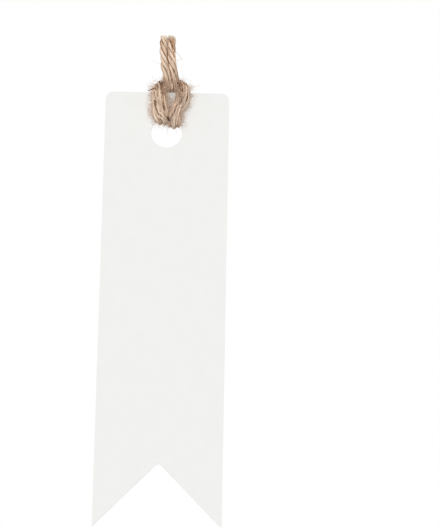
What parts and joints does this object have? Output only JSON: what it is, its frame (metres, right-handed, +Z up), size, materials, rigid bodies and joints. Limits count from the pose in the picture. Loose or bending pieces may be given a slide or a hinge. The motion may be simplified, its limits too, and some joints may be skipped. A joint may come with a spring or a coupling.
{
  "type": "gift tag",
  "caption": "Swallowtail gift tag of white card with rounded top corners, hung on jute twine tied through its punched hole in a lark's head hitch.",
  "frame": {"origin": "midway between the twine's two cut ends, where the tag is held or tied", "axes": "+Z up along the twine and the card's length, +X across the card, the card's front face looks along -Y"},
  "size_m": [0.02, 0.0046, 0.0796],
  "materials": {
    "card": "matte",
    "twine": "matte"
  },
  "bodies": {
    "tails": {"twine_tail_left": "twine", "twine_tail_right": "twine"},
    "hitch": {"twine_hitch": "twine"},
    "card": {"tag_card": "card"}
  },
  "joints": [
    {"name": "flap", "type": "hinge", "parent": "tails", "child": "hitch", "pos_m": [0, 0, -0.0046], "axis": [1, 0, 0], "range_deg": [-90, 90]},
    {"name": "sway", "type": "hinge", "parent": "hitch", "child": "card", "pos_m": [0, 0, -0.01635], "axis": [0, 1, 0], "range_deg": [-8, 8]}
  ]
}
